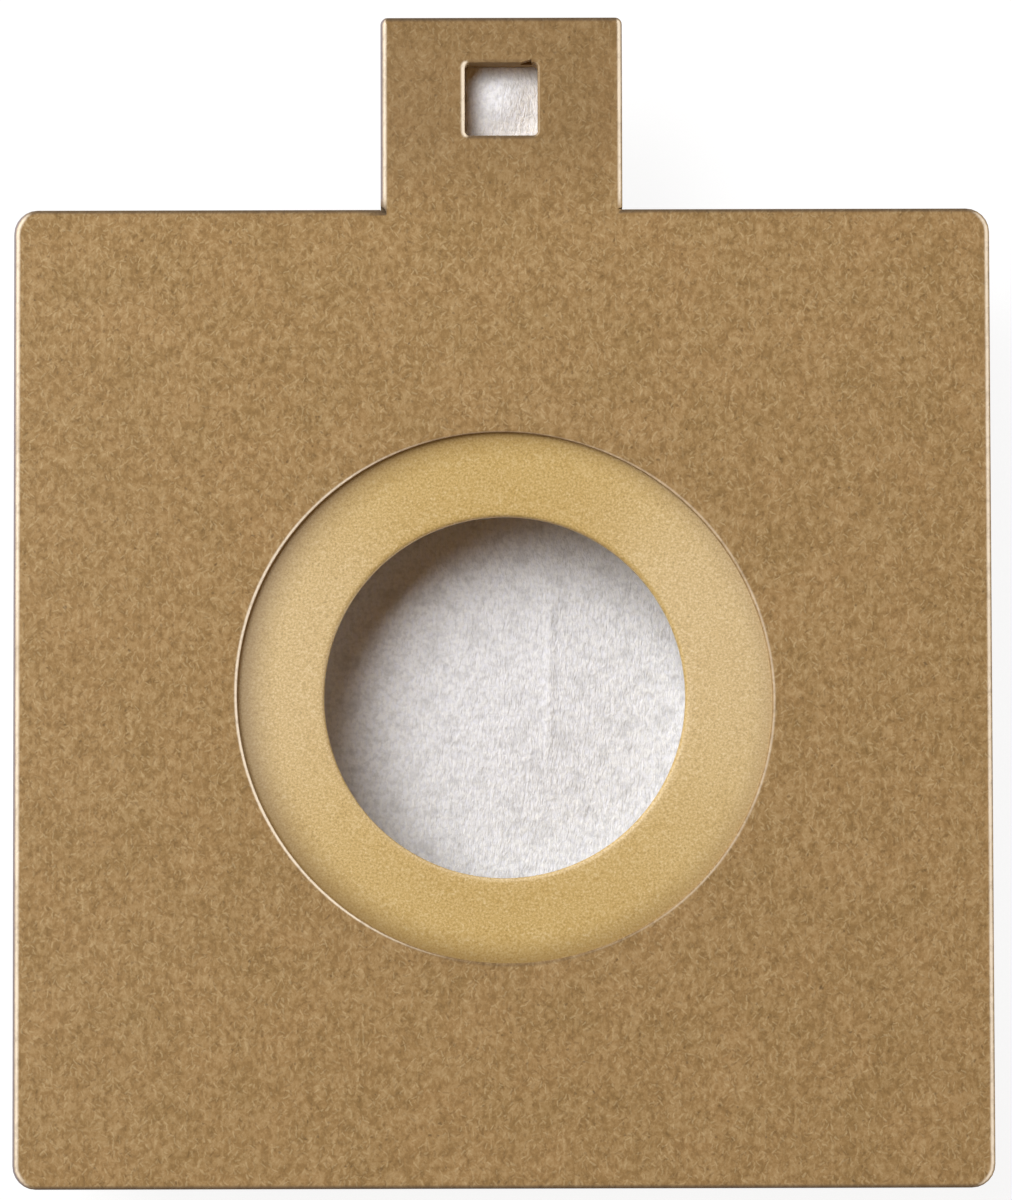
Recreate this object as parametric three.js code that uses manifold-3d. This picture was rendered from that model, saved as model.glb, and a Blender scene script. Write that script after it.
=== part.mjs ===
// Vacuum cleaner dust bag, lying face up, folded flat behind its card collar as it comes new.
//
// The collar is two plies of kraft board. The front ply carries the pull tab with its square
// hole and a wide round cut-out. The rear ply has a stepped seat that holds the rubber seal.
// A fleece backing is cut with the rear ply and closes the tab's hole from behind.
// The bag is one fleece tube with a tucked gusset down each side, welded flat at both ends
// and folded in three under the collar. Dust enters through the seal into its first panel.
//
// Units are millimetres. +Z points out of the collar's face and +Y along the tab. The origin
// is at the middle of the outline, on the surface that the bag lies on.

import * as THREE from 'three';
import { mergeVertices } from 'three/addons/utils/BufferGeometryUtils.js';
import Module from 'manifold-3d';

// Collar outline
const plateWidth = 100;
const plateLength = 100;
const plateCorner = 2.4;
const tabWidth = 24.8;
const tabLength = 19.8;
const tabCorner = 0.7;

// Square hole in the tab, with the small tear that the punch left at one corner
const tabHoleSize = 7.5;
const tabHoleCorner = 0.5;
const tabHoleRise = 11.4; // from the plate's edge up to the hole's centre
const tearLength = 2;
const tearHeight = 0.45;

// Overcut of the die where the tab meets the plate
const nickLength = 0.6;
const nickHeight = 0.4;

// Card plies
const frontCardThickness = 1.5;
const rearCardThickness = 1.5;
const edgeRoll = 0.45; // round that the die presses along the front ply's outline
const rimRoll = 0.35; // the same round along the cut-out
const contactGap = 0.05; // glue line between two plies

// Rubber seal and its seat
const inletDiameter = 37;
const sealThickness = 0.9;
const sealFace = 9; // width of the seal that the cut-out shows
const sealOverlap = 5; // how far the seal runs on under the front ply
const sealEdgeRound = 0.15;
const seatClearance = 0.3;
const flexRoom = 4.5; // free width of the seal round the inlet, with nothing behind it

// Fleece
const fleeceThickness = 0.6;
const backingInset = 0.3;

// Folded bag
const bagSideInset = 2; // from the plate's side edges
const bagTopInset = 3; // from the plate's tab edge to the top weld
const bagFoldInset = 2; // from the plate's lower edge to the first fold
const bagTurnInset = 5; // from the plate's tab edge to the second fold
const bagTailInset = 12; // from the plate's lower edge to the bottom weld
const gussetDepth = 26;
const plyGap = 0.25; // air between two folded layers of fleece
const panelGap = 0.3; // air between two folded panels
const pocketHeight = 8; // open height of the first panel, behind the inlet
const weldLength = 7;
const weldThickness = 1.4;
const pressedPly = 0.35; // fleece thickness beside a weld
const pressedGap = 0.1;
const pocketSlope = 14; // length over which the first panel opens from the top weld
const tailSlope = 6; // length over which the third panel thins to the bottom weld
const middleSink = 0.25; // the back wall sinks in between the gussets, with no ply behind it
const panelRise = 0.12; // lift of the third panel between its weld and its fold

// Smoothness, and how far a cutter runs past the faces that it cuts
const circleSegments = 96;
const cornerSegments = 6;
const rollSegments = 4;
const foldSteps = 10;
const slopeSteps = 5;
const gussetArcSteps = 4;
const cutterReach = 1;

// Layers of fleece where the tube lies flat: two walls, and a gusset doubled between them
const foldedPlies = 4;

// Round parts, from the inlet outwards
const throatDiameter = inletDiameter + 2 * flexRoom;
const cutoutDiameter = inletDiameter + 2 * sealFace;
const sealDiameter = cutoutDiameter + 2 * sealOverlap;

// Heights worked out from the plies. The bag's own heights are measured down from its top.
const foldedHeight = foldedPlies * fleeceThickness + (foldedPlies - 1) * plyGap;
const pressedHeight = foldedPlies * pressedPly + (foldedPlies - 1) * pressedGap;
const secondPanelTop = -pocketHeight - panelGap;
const thirdPanelTop = secondPanelTop - foldedHeight - panelGap;
const bagHeight = -thirdPanelTop + foldedHeight;
const tailLift = (foldedHeight - pressedHeight) / 2; // the bottom weld is at mid-height
const backingBottom = bagHeight + contactGap;
const rearCardBottom = backingBottom + fleeceThickness + contactGap;
const frontCardBottom = rearCardBottom + rearCardThickness + contactGap;
const sealBottom = frontCardBottom - contactGap - sealThickness;
const seatDepth = sealThickness + contactGap;
const outlineMiddle = tabLength / 2;

const wasm = await Module();
wasm.setup();

// Turns a closed three.js geometry into a solid that can be joined and cut.
function toSolid(geometry) {
  const bare = geometry.index ? geometry.toNonIndexed() : geometry.clone();
  bare.deleteAttribute('normal');
  bare.deleteAttribute('uv');
  const merged = mergeVertices(bare, 1e-4);
  return new wasm.Manifold(new wasm.Mesh({
    numProp: 3,
    vertProperties: new Float32Array(merged.attributes.position.array),
    triVerts: new Uint32Array(merged.index.array),
  }));
}

// Turns a solid back into a three.js geometry.
function toGeometry(solid) {
  const mesh = solid.getMesh();
  const geometry = new THREE.BufferGeometry();
  geometry.setAttribute('position', new THREE.BufferAttribute(mesh.vertProperties, 3));
  geometry.setIndex(new THREE.BufferAttribute(mesh.triVerts, 1));
  geometry.computeVertexNormals();
  return geometry;
}

// A box with its middle at x, y and its lower face at z.
function boxSolid(width, length, height, x, y, z) {
  const geometry = new THREE.BoxGeometry(width, length, height);
  geometry.translate(x, y, z + height / 2);
  return toSolid(geometry);
}

// An upright disc on the inlet's axis, from one height to another.
function discSolid(diameter, bottom, top) {
  const radius = diameter / 2;
  const geometry = new THREE.CylinderGeometry(radius, radius, top - bottom, circleSegments);
  geometry.rotateX(Math.PI / 2);
  geometry.translate(0, 0, (top + bottom) / 2);
  return toSolid(geometry);
}

// Adds a rounded corner to a path that is heading for the corner and leaves towards next.
function roundCorner(path, from, corner, next, radius) {
  const into = corner.clone().sub(from).normalize();
  const out = next.clone().sub(corner).normalize();
  const start = corner.clone().addScaledVector(into, -radius);
  const end = corner.clone().addScaledVector(out, radius);
  const centre = start.clone().add(end).sub(corner);
  const left = into.x * out.y - into.y * out.x > 0;
  const startAngle = Math.atan2(start.y - centre.y, start.x - centre.x);
  const endAngle = Math.atan2(end.y - centre.y, end.x - centre.x);
  path.lineTo(start.x, start.y);
  path.absarc(centre.x, centre.y, radius, startAngle, endAngle, !left);
}

// Draws right-angled corners, each with its own radius, as a closed path.
function drawCorners(path, corners) {
  const points = corners.map(([x, y]) => new THREE.Vector2(x, y));
  const last = points.length - 1;
  const first = points[0].clone().add(points[last]).multiplyScalar(0.5);
  path.moveTo(first.x, first.y);
  points.forEach((corner, i) => {
    const from = points[i === 0 ? last : i - 1];
    const next = points[i === last ? 0 : i + 1];
    const radius = corners[i][2];
    if (radius > 0) {
      roundCorner(path, from, corner, next, radius);
    } else {
      path.lineTo(corner.x, corner.y);
    }
  });
  path.closePath();
  return path;
}

// The collar's outline, plate and tab in one, drawn in from the true edge by inset.
function collarShape(inset) {
  const side = plateWidth / 2 - inset;
  const low = -plateLength / 2 + inset;
  const high = plateLength / 2 - inset;
  const tabSide = tabWidth / 2 - inset;
  const tabTop = plateLength / 2 + tabLength - inset;
  return drawCorners(new THREE.Shape(), [
    [-side, low, plateCorner],
    [side, low, plateCorner],
    [side, high, plateCorner],
    [tabSide, high, 0],
    [tabSide, tabTop, tabCorner],
    [-tabSide, tabTop, tabCorner],
    [-tabSide, high, 0],
    [-side, high, plateCorner],
  ]);
}

const tabHoleY = plateLength / 2 + tabHoleRise;

function tabHolePath() {
  const half = tabHoleSize / 2;
  return drawCorners(new THREE.Path(), [
    [-half, tabHoleY - half, tabHoleCorner],
    [-half, tabHoleY + half, tabHoleCorner],
    [half, tabHoleY + half, tabHoleCorner],
    [half, tabHoleY - half, tabHoleCorner],
  ]);
}

function sheetGeometry(shape, thickness) {
  return new THREE.ExtrudeGeometry(shape, {
    depth: thickness,
    bevelEnabled: false,
    curveSegments: cornerSegments,
  });
}

// Both cards start from this outline.
function cardShape() {
  const shape = collarShape(0);
  shape.holes.push(tabHolePath());
  return shape;
}

// Slits that the die leaves at the two corners between tab and plate.
function cutNicks(card) {
  const y = plateLength / 2;
  const height = frontCardThickness + rearCardThickness + 2 * cutterReach;
  const x = (tabWidth - nickLength) / 2;
  const left = boxSolid(nickLength, nickHeight, height, -x, y, -cutterReach);
  const right = boxSolid(nickLength, nickHeight, height, x, y, -cutterReach);
  return card.subtract(left).subtract(right);
}

// Front ply: every edge that the die cuts is rolled over on the face side.
function frontCard() {
  const rolled = new THREE.ExtrudeGeometry(cardShape(), {
    depth: frontCardThickness - edgeRoll,
    bevelEnabled: true,
    bevelThickness: edgeRoll,
    bevelSize: edgeRoll,
    bevelOffset: -edgeRoll,
    bevelSegments: rollSegments,
    curveSegments: cornerSegments,
  });
  const reach = plateWidth + plateLength + 2 * tabLength;
  const depth = edgeRoll + cutterReach;
  const below = boxSolid(reach, reach, depth, 0, 0, -depth);
  const card = toSolid(rolled).subtract(below).subtract(cutoutSolid());
  return cutNicks(card).subtract(tearSolid());
}

// The round cut-out with the rolled rim of the front ply, turned as one plug.
function cutoutSolid() {
  const radius = cutoutDiameter / 2;
  const over = frontCardThickness + cutterReach;
  const profile = [new THREE.Vector2(0, -cutterReach), new THREE.Vector2(radius, -cutterReach)];
  for (let i = 0; i <= rollSegments; i++) {
    const angle = (i / rollSegments) * (Math.PI / 2);
    profile.push(new THREE.Vector2(
      radius + rimRoll * (1 - Math.cos(angle)),
      frontCardThickness - rimRoll * (1 - Math.sin(angle)),
    ));
  }
  profile.push(new THREE.Vector2(radius + rimRoll, over));
  profile.push(new THREE.Vector2(0, over));
  const plug = new THREE.LatheGeometry(profile, circleSegments);
  plug.rotateX(Math.PI / 2);
  return toSolid(plug);
}

// The tear at the tab hole's upper right corner: a thin wedge that opens towards the corner.
function tearSolid() {
  const right = tabHoleSize / 2 - tabHoleCorner;
  const edge = tabHoleY + tabHoleSize / 2;
  const wedge = new THREE.Shape([
    new THREE.Vector2(right - tearLength, edge - tearHeight),
    new THREE.Vector2(right, edge - tearHeight),
    new THREE.Vector2(right, edge + tearHeight),
    new THREE.Vector2(right - tearLength, edge),
  ]);
  const geometry = sheetGeometry(wedge, frontCardThickness + 2 * cutterReach);
  geometry.translate(0, 0, -cutterReach);
  return toSolid(geometry);
}

// Rear ply: same outline, a smaller round hole and the stepped seat for the seal.
function rearCard() {
  const seatDiameter = sealDiameter + 2 * seatClearance;
  const over = rearCardThickness + cutterReach;
  const seat = discSolid(seatDiameter, rearCardThickness - seatDepth, over);
  const throat = discSolid(throatDiameter, -cutterReach, over);
  const card = toSolid(sheetGeometry(cardShape(), rearCardThickness));
  return cutNicks(card).subtract(seat).subtract(throat);
}

// Seal: a flat rubber washer with softly rounded edges round its bore.
function sealRing() {
  const bore = inletDiameter / 2;
  const rim = sealDiameter / 2;
  const round = sealEdgeRound;
  const profile = [
    new THREE.Vector2(bore + round, 0),
    new THREE.Vector2(rim, 0),
    new THREE.Vector2(rim, sealThickness),
    new THREE.Vector2(bore + round, sealThickness),
    new THREE.Vector2(bore, sealThickness - round),
    new THREE.Vector2(bore, round),
    new THREE.Vector2(bore + round, 0),
  ];
  const ring = new THREE.LatheGeometry(profile, circleSegments);
  ring.rotateX(Math.PI / 2);
  return toSolid(ring);
}

// Backing: fleece behind the whole collar, tab included, open only at the throat.
function backing() {
  const throat = discSolid(throatDiameter, -cutterReach, fleeceThickness + cutterReach);
  return toSolid(sheetGeometry(collarShape(backingInset), fleeceThickness)).subtract(throat);
}

// One cut across the tube: the loop of its outer or inner skin, as points (across, depth).
// Depth runs from the front wall's outside, at 0, to the back wall's outside, at height.
// The back wall's middle is closer by sink, because no gusset lies in front of it there.
function tubeSection({ height, ply, gap, sink }, skin) {
  const half = plateWidth / 2 - bagSideInset;
  const turn = (ply + gap) / 2;
  const wall = ply / 2;
  const sideX = half - wall - turn;
  const tipX = half - gussetDepth + wall + turn;
  const arc = (x, depth, from, sweep) => {
    const points = [];
    for (let i = 0; i <= gussetArcSteps; i++) {
      const angle = from + (sweep * i) / gussetArcSteps;
      points.push(new THREE.Vector2(x + turn * Math.cos(angle), depth + turn * Math.sin(angle)));
    }
    return points;
  };
  const right = [
    ...arc(sideX, wall + turn, -Math.PI / 2, Math.PI),
    ...arc(tipX, height / 2, -Math.PI / 2, -Math.PI),
    ...arc(sideX, height - wall - turn, -Math.PI / 2, Math.PI),
  ];
  const left = right.map((p) => new THREE.Vector2(-p.x, p.y)).reverse();
  const middle = new THREE.Vector2(0, height - wall - sink);
  return offsetLoop([...right, middle, ...left], skin * wall);
}

// Moves each corner of a closed loop out by distance, along its mitre.
function offsetLoop(loop, distance) {
  const count = loop.length;
  return loop.map((point, i) => {
    const into = point.clone().sub(loop[(i + count - 1) % count]).normalize();
    const out = loop[(i + 1) % count].clone().sub(point).normalize();
    const normal = new THREE.Vector2(into.y + out.y, -into.x - out.x).normalize();
    const stretch = normal.x * out.y - normal.y * out.x;
    return point.clone().addScaledVector(normal, distance / stretch);
  });
}

function mix(a, b, share) {
  return a + (b - a) * share;
}

// The cuts along the folded tube, from the top weld to the bottom weld. Each has the place of
// the front wall's outside and of the back wall's outside, as (y, z), the thickness of the
// fleece there, the gap between its plies and how far the back wall's middle sinks in.
function tubeStations() {
  const stations = [];
  const add = (frontY, frontZ, backY, backZ, loose = 1) => {
    stations.push({
      front: new THREE.Vector2(frontY, frontZ),
      back: new THREE.Vector2(backY, backZ),
      ply: mix(pressedPly, fleeceThickness, loose),
      gap: mix(pressedGap, plyGap, loose),
      sink: middleSink * loose,
    });
  };
  const ease = (share) => share * share * (3 - 2 * share);
  const inner = panelGap / 2;

  // The first panel opens from the top weld to its full height.
  const topY = plateLength / 2 - bagTopInset - weldLength;
  for (let i = 0; i <= slopeSteps; i++) {
    const share = i / slopeSteps;
    const y = topY - pocketSlope * share;
    add(y, 0, y, -mix(pressedHeight, pocketHeight, ease(share)), share);
  }

  // It turns under at the plate's lower edge, and flattens as it goes round.
  const foldReach = (pocketHeight + foldedHeight + panelGap) / 2;
  const foldY = -plateLength / 2 + bagFoldInset + foldReach;
  const foldZ = -pocketHeight - inner;
  for (let i = 0; i <= foldSteps; i++) {
    const angle = (Math.PI * i) / foldSteps;
    const outer = inner + mix(pocketHeight, foldedHeight, (1 - Math.cos(angle)) / 2);
    add(
      foldY - outer * Math.sin(angle), foldZ + outer * Math.cos(angle),
      foldY - inner * Math.sin(angle), foldZ + inner * Math.cos(angle),
    );
  }

  // The second panel runs back, and turns under again near the tab edge.
  const turnOuter = inner + foldedHeight;
  const turnY = plateLength / 2 - bagTurnInset - turnOuter;
  const turnZ = thirdPanelTop + inner;
  for (let i = 0; i <= foldSteps; i++) {
    const angle = (Math.PI * i) / foldSteps;
    add(
      turnY + inner * Math.sin(angle), turnZ + inner * Math.cos(angle),
      turnY + turnOuter * Math.sin(angle), turnZ + turnOuter * Math.cos(angle),
    );
  }

  // The third panel lies on the surface at its corners and thins towards the bottom weld.
  const tailY = -plateLength / 2 + bagTailInset + weldLength;
  const slopeY = tailY + tailSlope;
  const middleY = (turnY + slopeY) / 2;
  add(middleY, thirdPanelTop, middleY, panelRise - bagHeight);
  add(slopeY, thirdPanelTop, slopeY, -bagHeight);
  add(tailY, tailLift + pressedHeight - bagHeight, tailY, tailLift - bagHeight, 0);
  return stations;
}

// Joins the same loop at every station into one closed skin.
function tubeSkin(stations, skin) {
  const positions = [];
  const indices = [];
  const sections = [];
  const loops = stations.map(({ front, back, ply, gap, sink }) => {
    const down = back.clone().sub(front);
    const height = down.length();
    down.divideScalar(height);
    const section = tubeSection({ height, ply, gap, sink }, skin);
    sections.push(section);
    return section.map((p) => [p.x, front.x + down.x * p.y, front.y + down.y * p.y]);
  });
  loops.flat().forEach((p) => positions.push(...p));
  const size = loops[0].length;
  for (let s = 0; s < loops.length - 1; s++) {
    for (let i = 0; i < size; i++) {
      const a = s * size + i;
      const b = s * size + ((i + 1) % size);
      indices.push(b, a, a + size, b, a + size, b + size);
    }
  }
  const cap = THREE.ShapeUtils.triangulateShape(sections[0], []);
  const end = (loops.length - 1) * size;
  cap.forEach(([a, b, c]) => {
    indices.push(a, b, c);
    indices.push(end + c, end + b, end + a);
  });
  const geometry = new THREE.BufferGeometry();
  geometry.setAttribute('position', new THREE.Float32BufferAttribute(positions, 3));
  geometry.setIndex(indices);
  return geometry;
}

// Bag: outer skin less inner skin and inlet, with a flat weld at each end.
function bag() {
  const stations = tubeStations();
  const shift = (station, y) => ({
    ...station,
    front: station.front.clone().add(new THREE.Vector2(y, 0)),
    back: station.back.clone().add(new THREE.Vector2(y, 0)),
  });
  const last = stations.length - 1;
  const inside = stations.slice(1, last);
  inside.unshift(shift(stations[0], -fleeceThickness));
  inside.push(shift(stations[last], fleeceThickness));

  const weldWidth = plateWidth - 2 * bagSideInset;
  const overlap = fleeceThickness / 2;
  const weldSpan = weldLength + overlap;
  const topWeldY = stations[0].front.x + weldLength / 2 - overlap / 2;
  const topWeld = boxSolid(weldWidth, weldSpan, weldThickness, 0, topWeldY, -weldThickness);
  const tailWeldY = stations[last].front.x - weldLength / 2 + overlap / 2;
  const tailWeldZ = tailLift - bagHeight;
  const tailWeld = boxSolid(weldWidth, weldSpan, weldThickness, 0, tailWeldY, tailWeldZ);

  const inlet = discSolid(throatDiameter, -fleeceThickness - plyGap / 2, cutterReach);
  return toSolid(tubeSkin(stations, 1))
    .subtract(toSolid(tubeSkin(inside, -1)))
    .subtract(inlet)
    .add(topWeld)
    .add(tailWeld);
}

const kraftBoard = new THREE.MeshStandardMaterial({
  name: 'kraft_board', color: 0xa4855a, roughness: 0.88, metalness: 0,
});
const sealRubber = new THREE.MeshStandardMaterial({
  name: 'seal_rubber', color: 0xcdae75, roughness: 0.5, metalness: 0,
});
const fleece = new THREE.MeshStandardMaterial({
  name: 'fleece', color: 0xe8e6e5, roughness: 0.95, metalness: 0,
});

const dustBag = new THREE.Group();

function place(name, solid, material, z) {
  const mesh = new THREE.Mesh(toGeometry(solid), material);
  mesh.name = name;
  mesh.position.set(0, -outlineMiddle, z);
  dustBag.add(mesh);
}

place('collar_front_card', frontCard(), kraftBoard, frontCardBottom);
place('collar_rear_card', rearCard(), kraftBoard, rearCardBottom);
place('seal_ring', sealRing(), sealRubber, sealBottom);
place('fleece_backing', backing(), fleece, backingBottom);
place('folded_bag', bag(), fleece, bagHeight);

export default dustBag;
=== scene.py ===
# %% [markdown]
# # A vacuum cleaner dust bag with a card collar
# The object lies face up: a kraft board collar with a pull tab, a tan rubber seal held in it, a
# fleece backing, and the fleece bag folded flat underneath. Its structure comes from a CAD
# model. This notebook gives each piece the surface and the small shapes of the real one.

# %% Open the CAD frame
import math

import bmesh
import bpy
from mathutils import Matrix, Vector, noise


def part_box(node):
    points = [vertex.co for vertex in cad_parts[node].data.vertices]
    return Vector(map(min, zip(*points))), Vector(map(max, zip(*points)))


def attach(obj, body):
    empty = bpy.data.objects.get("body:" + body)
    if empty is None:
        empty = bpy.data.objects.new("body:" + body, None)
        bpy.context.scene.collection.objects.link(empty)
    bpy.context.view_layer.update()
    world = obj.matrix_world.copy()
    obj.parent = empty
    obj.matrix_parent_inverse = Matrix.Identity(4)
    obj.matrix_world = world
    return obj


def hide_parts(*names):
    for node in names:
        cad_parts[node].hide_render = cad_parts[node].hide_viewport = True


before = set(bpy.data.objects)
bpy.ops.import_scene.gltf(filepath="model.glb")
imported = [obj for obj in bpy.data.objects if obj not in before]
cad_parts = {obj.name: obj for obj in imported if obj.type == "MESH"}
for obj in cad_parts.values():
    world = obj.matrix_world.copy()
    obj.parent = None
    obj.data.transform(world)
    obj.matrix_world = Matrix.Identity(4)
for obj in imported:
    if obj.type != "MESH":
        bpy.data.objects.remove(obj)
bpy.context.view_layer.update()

MM = 0.001
for name in sorted(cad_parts):
    low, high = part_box(name)
    print(name, [round(c / MM, 2) for c in (*low, *high)])

# %% [markdown]
# ## Sizes that several pieces share
# Heights and outlines come from the CAD nodes' boxes, so that every piece lands on its own node.
# Only sizes that no box shows are written here, in millimetres.

# %% Shared sizes
front_low, front_high = (Vector(corner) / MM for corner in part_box("collar_front_card"))
seal_low, seal_high = (Vector(corner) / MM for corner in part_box("seal_ring"))
backing_low, backing_high = (Vector(corner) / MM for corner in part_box("fleece_backing"))
bag_high = Vector(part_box("folded_bag")[1]) / MM

PLATE = front_high.x - front_low.x
TAB_WIDTH = 24.8
TAB_TOP = front_high.y
PLATE_TOP = front_low.y + PLATE
AXIS_Y = front_low.y + PLATE / 2
PLATE_CORNER = 2.4
TAB_CORNER = 0.7
HOLE_SIZE = 7.5
HOLE_CORNER = 0.5
HOLE_Y = PLATE_TOP + 11.4
CUTOUT_RADIUS = 27.25
PUNCH_X = 0.2
BORE_RADIUS = 18.5
THROAT_RADIUS = 23.0
print("inlet axis at y", round(AXIS_Y, 2), "plate top at y", round(PLATE_TOP, 2))

# %% [markdown]
# ## Camera
# The photograph looks almost straight down on the collar. A long lens half a metre away gives
# its flat view, and a tilt of two and a half degrees gives the plate's slightly wider lower edge.

# %% Camera
CAMERA_DISTANCE = 0.5
FRAME_HEIGHT = 0.12264
tilt = math.radians(2.56)
roll = math.radians(-0.14)
target = Vector((0.31 * MM, (AXIS_Y + 9.91) * MM, front_high.z * MM))
camera_data = bpy.data.cameras.new("camera")
camera_data.sensor_width = 36
camera_data.lens = 36 * CAMERA_DISTANCE / FRAME_HEIGHT
camera_data.clip_start = 0.01
camera_data.clip_end = 20
camera = bpy.data.objects.new("camera", camera_data)
bpy.context.scene.collection.objects.link(camera)
camera.location = target + CAMERA_DISTANCE * Vector((0, -math.sin(tilt), math.cos(tilt)))
camera.rotation_euler = (tilt, 0, roll)
bpy.context.scene.camera = camera
print("lens", round(camera_data.lens, 1), "mm")

# %% [markdown]
# ## Colours and nodes
# Colours are written as in a paint program, as sRGB hex, and Blender wants them linear, so one
# function turns them. One more adds a node with its settings, values and links in a single line,
# which keeps long node trees readable.

# %% Colour and node helpers
def linear(hex_colour):
    """Turns '#RRGGBB' into the linear colour, with alpha, that a socket takes."""
    channels = [int(hex_colour[i:i + 2], 16) / 255 for i in (1, 3, 5)]
    return [c / 12.92 if c <= 0.04045 else ((c + 0.055) / 1.055) ** 2.4 for c in channels] + [1]


def add_node(tree, kind, values=None, links=None, **settings):
    """Adds a node: settings are its properties, values and links go to its sockets by name."""
    node = tree.nodes.new(kind)
    for name, value in settings.items():
        setattr(node, name, value)
    for socket, value in (values or {}).items():
        node.inputs[socket].default_value = value
    for socket, source in (links or {}).items():
        tree.links.new(source, node.inputs[socket])
    return node


def start_material(name, colour, roughness, ior):
    """A new material whose plain sockets are set directly on its shader."""
    material = bpy.data.materials.new(name)
    material.use_nodes = True
    material.diffuse_color = linear(colour)
    shader = material.node_tree.nodes["Principled BSDF"]
    shader.inputs["Base Color"].default_value = linear(colour)
    shader.inputs["Roughness"].default_value = roughness
    shader.inputs["IOR"].default_value = ior
    return material, material.node_tree, shader


# %% [markdown]
# ## Studio
# A pale floor under the object, a soft key lamp from the upper left, a low strip of light from
# each side that catches the rolled edges, and a weak even sky. The lamps together give a level
# surface as much light as shows its colour as it is written. The camera sees the floor and the
# sky as white, and the floor still darkens a little under the object. To all other rays the floor
# is mid grey, so that it throws little light up on the white cloth's sides.

# %% Lamps
LAMP_DISTANCE = 1.0


def soft_lamp(name, azimuth, elevation, width, height, share, colour):
    """An area lamp aimed at the collar. share is its part of the light on a level surface."""
    data = bpy.data.lights.new(name, "AREA")
    data.shape = "RECTANGLE"
    data.size = width
    data.size_y = height
    rise = math.radians(elevation)
    data.color = linear(colour)[:3]
    data.energy = share * math.pi ** 2 * LAMP_DISTANCE ** 2 / math.sin(rise)
    turn = math.radians(azimuth)
    flat = math.cos(rise)
    away = Vector((flat * math.cos(turn), flat * math.sin(turn), math.sin(rise)))
    lamp = bpy.data.objects.new(name, data)
    bpy.context.scene.collection.objects.link(lamp)
    lamp.location = target + LAMP_DISTANCE * away
    lamp.rotation_euler = away.to_track_quat("Z", "Y").to_euler()
    print(name, round(data.energy, 2), "W")


soft_lamp("key_lamp", 138, 47, 0.9, 0.9, 1.05, "#FBFDFF")
soft_lamp("right_strip", -14, 9, 0.5, 0.12, 0.055, "#FFFFFF")
soft_lamp("left_strip", 168, 9, 0.5, 0.12, 0.022, "#FFFFFF")

# %% Sky and floor
SKY_SHARE = 0.11
SKY_COLOUR = linear("#FFB25A")
world = bpy.data.worlds.new("studio_sky")
world.use_nodes = True
bpy.context.scene.world = world
sky = world.node_tree
sky.nodes.clear()
path = add_node(sky, "ShaderNodeLightPath")
seen = add_node(sky, "ShaderNodeMath", links={0: path.outputs["Is Camera Ray"],
                                              1: path.outputs["Is Transmission Ray"]},
                operation="MAXIMUM")
even = add_node(sky, "ShaderNodeBackground", {"Color": SKY_COLOUR, "Strength": SKY_SHARE})
white = add_node(sky, "ShaderNodeBackground", {"Color": (1, 1, 1, 1), "Strength": 1.0})
choice = add_node(sky, "ShaderNodeMixShader", links={0: seen.outputs[0], 1: even.outputs[0],
                                                     2: white.outputs[0]})
add_node(sky, "ShaderNodeOutputWorld", links={"Surface": choice.outputs[0]})

floor_material = bpy.data.materials.new("studio_floor")
floor_material.use_nodes = True
tree = floor_material.node_tree
tree.nodes.clear()
path = add_node(tree, "ShaderNodeLightPath")
paint = add_node(tree, "ShaderNodeBsdfDiffuse", {"Color": linear("#858585")})
dim_paint = add_node(tree, "ShaderNodeBsdfDiffuse", {"Color": linear("#6A6A6A")})
glow = add_node(tree, "ShaderNodeEmission", {"Color": (1, 1, 1, 1), "Strength": 0.9})
shown = add_node(tree, "ShaderNodeAddShader", links={0: dim_paint.outputs[0],
                                                     1: glow.outputs[0]})
choice = add_node(tree, "ShaderNodeMixShader", links={0: path.outputs["Is Camera Ray"],
                                                      1: paint.outputs[0], 2: shown.outputs[0]})
add_node(tree, "ShaderNodeOutputMaterial", links={"Surface": choice.outputs[0]})

bm = bmesh.new()
bmesh.ops.create_grid(bm, x_segments=1, y_segments=1, size=4)
floor_mesh = bpy.data.meshes.new("studio_floor")
bm.to_mesh(floor_mesh)
bm.free()
floor_mesh.materials.append(floor_material)
studio_floor = bpy.data.objects.new("studio_floor", floor_mesh)
bpy.context.scene.collection.objects.link(studio_floor)

bpy.context.scene.view_settings.view_transform = "Standard"

# %% [markdown]
# ## Kraft board
# The collar is unbleached kraft board: long brown wood fibres pressed into a sheet, so the face
# shows short curved flecks, lighter and darker than the brown round them, and a soft mottling.
# A photograph of board would repeat, so the flecks are drawn by nodes: each Voronoi cell holds
# one stroke, turned by the cell's own random colour. The tab grows a little darker from just
# below the plate's top edge upwards. A cut edge shows the board's plies as faint bands. Along the
# edges that the die rolled over, light and shade are painted: a cream highlight along each roll's
# crest, strongest on edges that face left or right, a grey shade on the outer part of left-facing
# edges, and a dark shade on edges that face up or down and at the tab's foot.

# %% Flecks
def in_millimetres(tree):
    """The piece's own place in millimetres, for patterns that are measured in millimetres."""
    place = add_node(tree, "ShaderNodeTexCoord")
    return add_node(tree, "ShaderNodeVectorMath", {"Scale": 1 / MM},
                    {0: place.outputs["Object"]}, operation="SCALE").outputs[0]


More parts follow.
